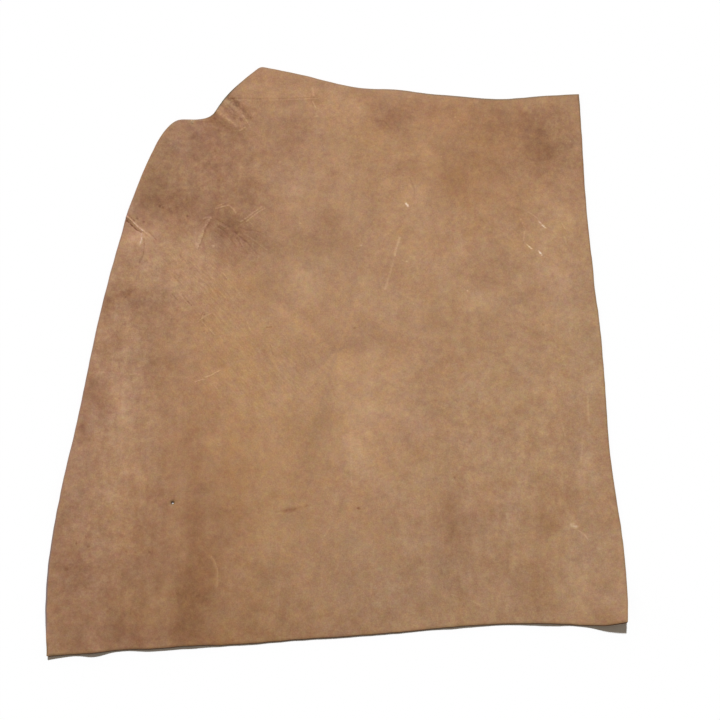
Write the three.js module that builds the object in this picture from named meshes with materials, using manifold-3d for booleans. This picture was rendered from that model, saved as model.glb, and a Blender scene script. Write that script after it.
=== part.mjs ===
// A single shoulder of vegetable-tanned cattle leather, lying grain side up as a flat, uncut hide is
// stored and sold. One piece of leather, cut straight down the spine and square across the rear, trimmed
// along the neck, and left to its natural line down the belly edge, with the notch of the foreleg between
// the belly and the neck. It lies flat, apart from soft rolls, lifted edges and a pinched pleat.
// Millimetres, +Z up. The origin is under the middle of the hide's box, on the surface it lies on.
// +Y points to the neck and +X to the spine.

import * as THREE from "three";
import { mergeVertices } from "three/addons/utils/BufferGeometryUtils.js";
import Module from "manifold-3d";

// Driving dimensions.
const THICKNESS = 3; // 7 to 8 oz leather
const SCAR_HOLE = { x: -245.2, y: -229.2, radius: 1.7, sides: 12 };

// The cut, as the points where each edge changes direction. Smooth curves run through them.
const REAR_CUT = [
  { x: -424.3, y: -452 }, // the corner with the belly edge
  { x: -350, y: -447 },
  { x: -315, y: -443 },
  { x: -262, y: -441.4 },
  { x: -210, y: -436.7 },
  { x: -165, y: -436.3 },
  { x: -103, y: -432.4 },
  { x: -60, y: -428.5 },
  { x: 5, y: -424.5 },
  { x: 73, y: -419.6 },
  { x: 126, y: -414.8 },
  { x: 153, y: -411.6 },
  { x: 182, y: -409.3 },
  { x: 241, y: -406 },
  { x: 312, y: -405.2 },
  { x: 373, y: -408 },
  { x: 400, y: -407.4 },
  { x: 425.5, y: -402.5 }, // the curled corner with the spine
];
const SPINE_CUT = [
  { x: 425.5, y: -402.5 },
  { x: 428.4, y: -378 },
  { x: 428.6, y: -326 },
  { x: 424, y: -271 },
  { x: 418, y: -225 },
  { x: 412.4, y: -179 },
  { x: 409, y: -143 },
  { x: 405.9, y: -60 },
  { x: 402.8, y: 5 },
  { x: 399.2, y: 51 },
  { x: 394, y: 98 },
  { x: 392, y: 134 },
  { x: 389.6, y: 157 },
  { x: 383.2, y: 252 },
  { x: 380.3, y: 348 },
  { x: 377.3, y: 405.4 }, // the corner with the neck
];
const BELLY_EDGE = [
  { x: -424.3, y: -452 },
  { x: -429.4, y: -386 },
  { x: -427.3, y: -314 },
  { x: -414.2, y: -225 },
  { x: -407, y: -185 },
  { x: -389.8, y: -99 },
  { x: -370, y: 17 },
  { x: -350.7, y: 110 },
  { x: -331.2, y: 188 },
  { x: -326.2, y: 209 }, // the lip of the pleat
  { x: -312.3, y: 253 },
  { x: -288.2, y: 314 },
  { x: -267, y: 351 },
  { x: -249, y: 365 }, // the round corner above the foreleg
  { x: -221, y: 365 },
  { x: -196.5, y: 371 }, // the notch of the foreleg
  { x: -184, y: 389.6 },
  { x: -176, y: 402.2 },
  { x: -158.2, y: 421 },
  { x: -122, y: 452 }, // the sharp tip of the neck
];
const NECK_CUT = [
  { x: -122, y: 452 },
  { x: -59, y: 438.7 },
  { x: 4, y: 422.5 },
  { x: 42, y: 415.8 },
  { x: 78, y: 414.9 },
  { x: 98, y: 413.7 },
  { x: 135, y: 408 },
  { x: 158, y: 406 },
  { x: 191, y: 402.9 },
  { x: 254, y: 398.4 },
  { x: 329, y: 404.2 },
  { x: 377.3, y: 405.4 },
];

// Where the hide stands off the surface: each row is the crest of a soft ridge, from one end to the other,
// with its height at each end and how far it spreads to either side. A lift is a ridge along the edge.
const RIDGES = [
  { what: "roll near the belly", x1: -206, y1: -120, x2: -214, y2: -470, rise1: 0, rise2: 3.4, spread: 46 },
  { what: "roll in the middle", x1: 172, y1: -180, x2: 178, y2: -430, rise1: 0, rise2: 2.2, spread: 34 },
  { what: "roll near the spine", x1: 309, y1: -190, x2: 309, y2: -430, rise1: 0, rise2: 2.8, spread: 36 },
  { what: "curled spine corner", x1: 390, y1: -365, x2: 425, y2: -403, rise1: 1, rise2: 15, spread: 58 },
  { what: "belly corner", x1: -398, y1: -425, x2: -428, y2: -458, rise1: 0, rise2: 4.5, spread: 40 },
  { what: "first rear wave", x1: -353, y1: -400, x2: -356, y2: -455, rise1: 0, rise2: 5.5, spread: 28 },
  { what: "second rear wave", x1: -270, y1: -405, x2: -273, y2: -450, rise1: 0, rise2: 4, spread: 30 },
  { what: "lifted belly edge", x1: -385, y1: -20, x2: -418, y2: -230, rise1: 0, rise2: 2.6, spread: 34 },
  { what: "belly edge pleat", x1: -331, y1: 212, x2: -266, y2: 164, rise1: 4.5, rise2: 0, spread: 17 },
  { what: "fold out of the notch", x1: -192, y1: 382, x2: -136, y2: 332, rise1: 4, rise2: 0, spread: 22 },
  { what: "buckle below the notch", x1: -213, y1: 160, x2: -196, y2: 212, rise1: 1, rise2: 2.4, spread: 19 },
  { what: "neck corner", x1: 350, y1: 378, x2: 380, y2: 408, rise1: 0, rise2: 3, spread: 40 },
];

function smoothCurve(points) {
  const bends = points.map((point) => new THREE.Vector3(point.x, point.y, 0));
  return new THREE.CatmullRomCurve3(bends, false, "centripetal");
}

const rearEdge = smoothCurve(REAR_CUT);
const spineEdge = smoothCurve(SPINE_CUT);
const bellyEdge = smoothCurve(BELLY_EDGE);
const neckEdge = smoothCurve(NECK_CUT);

// How many cells the sheet is divided into, stretch by stretch, with the share of the edge where each
// stretch ends. Columns go across from the belly to the spine. Rows go up from the rear to the neck, and
// run down a little from the belly to the spine, so that they meet the level stretch over the foreleg
// at an angle. Stretches are finer where the hide bends.
const COLUMNS = [
  { across: 0.16, cells: 9 },
  { across: 0.9, cells: 25 },
  { across: 1, cells: 6 },
];
const ROWS = [
  { belly: 0.07, spine: 0.07, cells: 5 },
  { belly: 0.58, spine: 0.52, cells: 19 },
  { belly: 0.79, spine: 0.68, cells: 10 },
  { belly: 0.845, spine: 0.735, cells: 6 }, // the round corner
  { belly: 0.862, spine: 0.765, cells: 1 }, // the level stretch over the foreleg
  { belly: 0.915, spine: 0.84, cells: 7 }, // the notch
  { belly: 1, spine: 1, cells: 7 },
];

// The lines between the cells, as shares of the way along the named edge.
function gridLines(stretches, edge) {
  const lines = [0];
  for (const stretch of stretches) {
    const from = lines.at(-1);
    for (let cell = 1; cell <= stretch.cells; cell++) {
      lines.push(from + ((stretch[edge] - from) * cell) / stretch.cells);
    }
  }
  return lines;
}

// The place in the hide for a share across, and shares up the belly edge and up the spine: a patch
// stretched between its four edges.
function placeInHide(across, up, upSpine) {
  const rear = rearEdge.getPointAt(across);
  const neck = neckEdge.getPointAt(across);
  const belly = bellyEdge.getPointAt(up);
  const spine = spineEdge.getPointAt(upSpine);
  const rearChord = rearEdge.getPoint(0).lerp(rearEdge.getPoint(1), across);
  const neckChord = neckEdge.getPoint(0).lerp(neckEdge.getPoint(1), across);
  const fromRearAndNeck = rear.lerp(neck, up);
  const fromBellyAndSpine = belly.lerp(spine, across);
  return fromRearAndNeck.add(fromBellyAndSpine).sub(rearChord.lerp(neckChord, up));
}

// How far the flesh side stands off the surface. Between the ridges it lies flat on it.
function standOff(x, y) {
  let highest = 0;
  for (const ridge of RIDGES) {
    const along = new THREE.Vector2(ridge.x2 - ridge.x1, ridge.y2 - ridge.y1);
    const reach = new THREE.Vector2(x - ridge.x1, y - ridge.y1);
    const share = THREE.MathUtils.clamp(reach.dot(along) / along.lengthSq(), 0, 1);
    const aside = reach.addScaledVector(along, -share).length() / ridge.spread;
    const crest = THREE.MathUtils.lerp(ridge.rise1, ridge.rise2, share);
    const slope = aside < 1 ? (1 - aside * aside) ** 2 : 0;
    highest = Math.max(highest, crest * slope);
  }
  return highest;
}

// A box divided into the cells of the sheet, stretched onto the cut and laid over the ridges.
function layHide() {
  const columnLines = gridLines(COLUMNS, "across");
  const bellyLines = gridLines(ROWS, "belly");
  const spineLines = gridLines(ROWS, "spine");
  const columns = columnLines.length - 1;
  const rows = bellyLines.length - 1;
  const sheet = new THREE.BoxGeometry(1, 1, 1, columns, rows, 1);
  const corners = sheet.getAttribute("position");
  for (let i = 0; i < corners.count; i++) {
    const column = Math.round((corners.getX(i) + 0.5) * columns);
    const row = Math.round((corners.getY(i) + 0.5) * rows);
    const grainSide = corners.getZ(i) > 0;
    const { x, y } = placeInHide(columnLines[column], bellyLines[row], spineLines[row]);
    corners.setXYZ(i, x, y, standOff(x, y) + (grainSide ? THICKNESS : 0));
  }
  return sheet;
}

// The small round hole that an old scar left.
function scarHole() {
  const punch = new THREE.CylinderGeometry(
    SCAR_HOLE.radius, SCAR_HOLE.radius, 3 * THICKNESS, SCAR_HOLE.sides,
  );
  punch.rotateX(Math.PI / 2);
  punch.translate(SCAR_HOLE.x, SCAR_HOLE.y, THICKNESS / 2);
  return punch;
}

const wasm = await Module();
wasm.setup();

function solidOf(geometry) {
  const bare = geometry.clone();
  bare.deleteAttribute("normal");
  bare.deleteAttribute("uv");
  const merged = mergeVertices(bare, 1e-3);
  const mesh = new wasm.Mesh({
    numProp: 3,
    vertProperties: merged.getAttribute("position").array,
    triVerts: new Uint32Array(merged.index.array),
  });
  return new wasm.Manifold(mesh);
}

function geometryOf(solid) {
  const { vertProperties, triVerts } = solid.getMesh();
  const geometry = new THREE.BufferGeometry();
  geometry.setAttribute("position", new THREE.BufferAttribute(vertProperties, 3));
  geometry.setIndex(new THREE.BufferAttribute(triVerts, 1));
  geometry.computeVertexNormals();
  return geometry;
}

const leather = new THREE.MeshStandardMaterial({ color: 0xa78161, roughness: 0.62, metalness: 0 });
const hide = new THREE.Mesh(geometryOf(solidOf(layHide()).subtract(solidOf(scarHole()))), leather);
hide.name = "hide";

const shoulder = new THREE.Group();
shoulder.add(hide);

export default shoulder;
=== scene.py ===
# A single shoulder of vegetable-tanned cattle leather, laid out flat with its grain side up.
# Metres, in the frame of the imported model: +Y points to the neck and +X to the spine. The tables of
# creases and clouds are in millimetres.

import math

import bmesh
import bpy
import numpy as np
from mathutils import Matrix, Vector, bvhtree, noise


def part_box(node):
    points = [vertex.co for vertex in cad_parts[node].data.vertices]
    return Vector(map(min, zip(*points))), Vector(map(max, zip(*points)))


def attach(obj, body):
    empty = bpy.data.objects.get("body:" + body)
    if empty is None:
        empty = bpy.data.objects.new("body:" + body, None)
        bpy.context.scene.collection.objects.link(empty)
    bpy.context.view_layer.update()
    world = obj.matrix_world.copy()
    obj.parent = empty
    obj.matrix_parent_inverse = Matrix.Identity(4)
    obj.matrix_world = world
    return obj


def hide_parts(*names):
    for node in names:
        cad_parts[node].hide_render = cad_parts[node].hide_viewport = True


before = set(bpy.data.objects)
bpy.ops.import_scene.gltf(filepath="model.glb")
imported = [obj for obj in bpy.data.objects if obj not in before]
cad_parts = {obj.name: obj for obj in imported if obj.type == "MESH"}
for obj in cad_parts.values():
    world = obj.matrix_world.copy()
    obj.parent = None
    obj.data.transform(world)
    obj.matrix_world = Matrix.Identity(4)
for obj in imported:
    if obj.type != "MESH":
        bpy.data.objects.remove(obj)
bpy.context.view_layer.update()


# ---- The camera -----------------------------------------------------------------------------------
# It looks almost straight down on the hide, from the side of the rear cut, as a hide is shown for
# sale, with some room to the right of the hide.

CAMERA_TILT = math.radians(8)
CAMERA_DISTANCE = 1.824
LENS = 60.0
AIM_BESIDE_MIDDLE = Vector((0.0349, -0.0136, 0.0))

hide_low, hide_high = (Vector(corner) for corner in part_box("hide"))
hide_middle = (hide_low + hide_high) / 2
hide_middle.z = 0.0

camera_data = bpy.data.cameras.new("camera")
camera_data.lens = LENS
camera = bpy.data.objects.new("camera", camera_data)
bpy.context.scene.collection.objects.link(camera)
back_and_up = Vector((0.0, -math.sin(CAMERA_TILT), math.cos(CAMERA_TILT)))
camera.location = hide_middle + AIM_BESIDE_MIDDLE + back_and_up * CAMERA_DISTANCE
camera.rotation_euler = (CAMERA_TILT, 0.0, 0.0)
bpy.context.scene.camera = camera


# ---- The light ------------------------------------------------------------------------------------
# Soft light from high up beyond the neck, a little from the belly side, and a white room around it that
# throws back some warmth. Together they light a flat surface so that its colour shows as it is.

SUN_SHARE = 0.84
SUN_HEIGHT = math.radians(45)
SUN_FROM_NECK_TOWARDS_BELLY = math.radians(4)
SUN_SOFTNESS = math.radians(4)
ROOM_LIGHT = [(1 - SUN_SHARE) * warmth for warmth in (1.18, 1.0, 0.80)]

sun_data = bpy.data.lights.new("window_light", "SUN")
sun_data.energy = math.pi * SUN_SHARE / math.sin(SUN_HEIGHT)
sun_data.color = [(1 - room_part) / SUN_SHARE for room_part in ROOM_LIGHT]
sun_data.angle = SUN_SOFTNESS
sun = bpy.data.objects.new("window_light", sun_data)
bpy.context.scene.collection.objects.link(sun)
sun.rotation_euler = (SUN_HEIGHT - math.pi / 2, 0.0, SUN_FROM_NECK_TOWARDS_BELLY)


def add_node(tree, kind, settings=None, inputs=None):
    """A shader node with its settings. An input is a plain value, or the output that feeds it."""
    made = tree.nodes.new(kind)
    for name, value in (settings or {}).items():
        setattr(made, name, value)
    for name, value in (inputs or {}).items():
        if isinstance(value, bpy.types.NodeSocket):
            tree.links.new(value, made.inputs[name])
        else:
            made.inputs[name].default_value = value
    return made


def add_math(tree, operation, *values, clamp=False):
    """The result of a Math node."""
    settings = {"operation": operation, "use_clamp": clamp}
    return add_node(tree, "ShaderNodeMath", settings, dict(enumerate(values))).outputs[0]


def add_mix(tree, factor, first, second):
    """A colour between two others: the first where the factor is 0, and the second where it is 1."""
    inputs = {"Factor": factor, "A": first, "B": second}
    return add_node(tree, "ShaderNodeMix", {"data_type": "RGBA"}, inputs).outputs["Result"]


def seen_directly(tree):
    """1 where the camera, a reflection or a clear body sees the surface, and 0 where it lights others."""
    path = add_node(tree, "ShaderNodeLightPath").outputs
    in_gloss = add_math(tree, "MAXIMUM", path["Is Camera Ray"], path["Is Glossy Ray"])
    return add_math(tree, "MAXIMUM", in_gloss, path["Is Transmission Ray"])


room = bpy.data.worlds.new("white_room")
room.use_nodes = True
bpy.context.scene.world = room
room_tree = room.node_tree
room_tree.nodes.clear()
room_colour = add_mix(room_tree, seen_directly(room_tree), (*ROOM_LIGHT, 1), (1, 1, 1, 1))
room_light = add_node(room_tree, "ShaderNodeBackground", None, {"Color": room_colour})
room_out = add_node(room_tree, "ShaderNodeOutputWorld")
room_tree.links.new(room_light.outputs[0], room_out.inputs["Surface"])


# ---- The floor ------------------------------------------------------------------------------------
# A smooth white board, wide enough to fill the view. It isn't part of the object.

FLOOR_SIZE = 12.0
FLOOR_GAP = 0.0003
THROWN_BACK = (0.7, 0.7, 0.7, 1)

bpy.ops.object.select_all(action="DESELECT")
bpy.ops.mesh.primitive_plane_add(size=FLOOR_SIZE, location=(0, 0, -FLOOR_GAP))
floor = bpy.context.active_object
floor.name = "floor"
bpy.ops.object.transform_apply(location=True)

board = bpy.data.materials.new("white_board")
board.use_nodes = True
board_tree = board.node_tree
board_tree.nodes.clear()
board_colour = add_mix(board_tree, seen_directly(board_tree), THROWN_BACK, (1, 1, 1, 1))
board_finish = add_node(board_tree, "ShaderNodeBsdfDiffuse", None, {"Color": board_colour})
board_out = add_node(board_tree, "ShaderNodeOutputMaterial")
board_tree.links.new(board_finish.outputs[0], board_out.inputs["Surface"])
floor.data.materials.append(board)


# ---- The hide -------------------------------------------------------------------------------------
# One sheet of leather, split to an even thickness at the tannery and cut around with a knife. It
# keeps the rolls, the pinched pleat and the wrinkles that it was tanned and stored with.

SPACING_ROUNDS = 2
KNIFE_WANDER = 0.0005
RIPPLE = 0.0008
RIM_WIDTH = 0.004
ARRIS = 0.0006
REAR_SLANT = 0.0014
SHARP_CORNER = math.radians(125)
FLESH_DETAIL_KEPT = 0.62
FINEST_CELL = 0.0011
CELL_SLACK = 1.3
CREASE_ROUNDS = 3
CREASE_MARGIN = 0.0015
CELL_OF_SPREAD = 0.5
FACES_UP = 0.5
MERGE_DISTANCE = 1e-5
MILLIMETRES = 1000
OUTLINE_CORNERS_FROM = 0.4

bpy.ops.object.select_all(action="DESELECT")
hide = bpy.data.objects.new("shoulder_leather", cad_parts["hide"].data.copy())
bpy.context.scene.collection.objects.link(hide)
bpy.context.view_layer.objects.active = hide
hide.select_set(True)
hide.data.materials.clear()

# The grain side of the solid, as one skin of four-sided cells, is the start of the sheet. A narrow ring
# of cells is set in from the outline, for the rim that the knife left.
bpy.ops.object.mode_set(mode="EDIT")
bpy.ops.mesh.select_mode(type="FACE")
bpy.ops.mesh.select_all(action="SELECT")
bpy.ops.mesh.customdata_custom_splitnormals_clear()
bpy.ops.mesh.remove_doubles(threshold=MERGE_DISTANCE)
bpy.ops.mesh.select_all(action="DESELECT")
skin = bmesh.from_edit_mesh(hide.data)
grain_side = [face for face in skin.faces if face.normal.z > FACES_UP]
thickness = min(corner.co.z for face in grain_side for corner in face.verts)
for face in skin.faces:
    face.select_set(face.normal.z < FACES_UP)
bmesh.update_edit_mesh(hide.data)
bpy.ops.mesh.delete(type="FACE")
bpy.ops.mesh.select_all(action="SELECT")
bpy.ops.mesh.tris_convert_to_quads(face_threshold=math.radians(40), shape_threshold=math.radians(60))
bpy.ops.mesh.inset(thickness=RIM_WIDTH, use_boundary=True)
skin = bmesh.from_edit_mesh(hide.data)
# The corners of the outline stay sharp when the cells are rounded.
sharpness = skin.verts.layers.float.new("crease_vert")
for corner in skin.verts:
    ways = [edge.other_vert(corner).co - corner.co for edge in corner.link_edges if edge.is_boundary]
    if ways and corner.co.xy.length > OUTLINE_CORNERS_FROM and ways[0].angle(ways[1]) < SHARP_CORNER:
        corner[sharpness] = 1.0
bmesh.update_edit_mesh(hide.data)
bpy.ops.object.mode_set(mode="OBJECT")

rounding = hide.modifiers.new("rounding", "SUBSURF")
rounding.levels = rounding.render_levels = SPACING_ROUNDS
rounding.boundary_smooth = "PRESERVE_CORNERS"
bpy.ops.object.modifier_apply(modifier=rounding.name)


def swell(x, y, spacing, seed):
    """Smooth unevenness from -1 to 1 that changes over the given spacing."""
    return noise.noise(Vector((x / spacing, y / spacing, seed)))


# The knife wandered a little around the outline, and the sheet ripples a little between its rolls.
bpy.ops.object.mode_set(mode="EDIT")
skin = bmesh.from_edit_mesh(hide.data)
for corner in skin.verts:
    x, y, z = corner.co
    corner.co.x += KNIFE_WANDER * swell(x, y, 0.018, 3)
    corner.co.y += KNIFE_WANDER * swell(x, y, 0.018, 7)
    corner.co.z += RIPPLE * max(0.0, 0.3 + swell(x, y, 0.11, 11) + 0.4 * swell(x, y, 0.035, 13))
bmesh.update_edit_mesh(hide.data)
bpy.ops.object.mode_set(mode="OBJECT")

GRAIN, FLESH, EDGE = range(3)
for finish in ("leather_grain", "leather_flesh", "leather_cut_edge"):
    hide.data.materials.append(bpy.data.materials.new(finish))

split = hide.modifiers.new("split", "SOLIDIFY")
split.thickness = thickness
split.offset = -1.0
split.material_offset = FLESH
split.material_offset_rim = EDGE
bpy.ops.object.modifier_apply(modifier=split.name)

# The flesh side has no fine creases, so its inner cells are made larger.
inner_flesh = hide.vertex_groups.new(name="inner_flesh")
other_sides = [face for face in hide.data.polygons if face.material_index != FLESH]
touched = {corner for face in other_sides for corner in face.vertices}
inner = [corner.index for corner in hide.data.vertices if corner.index not in touched]
inner_flesh.add(inner, 1.0, "REPLACE")
thinning = hide.modifiers.new("thinning", "DECIMATE")
thinning.ratio = FLESH_DETAIL_KEPT
thinning.vertex_group = inner_flesh.name
bpy.ops.object.modifier_apply(modifier=thinning.name)
hide.vertex_groups.clear()

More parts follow.
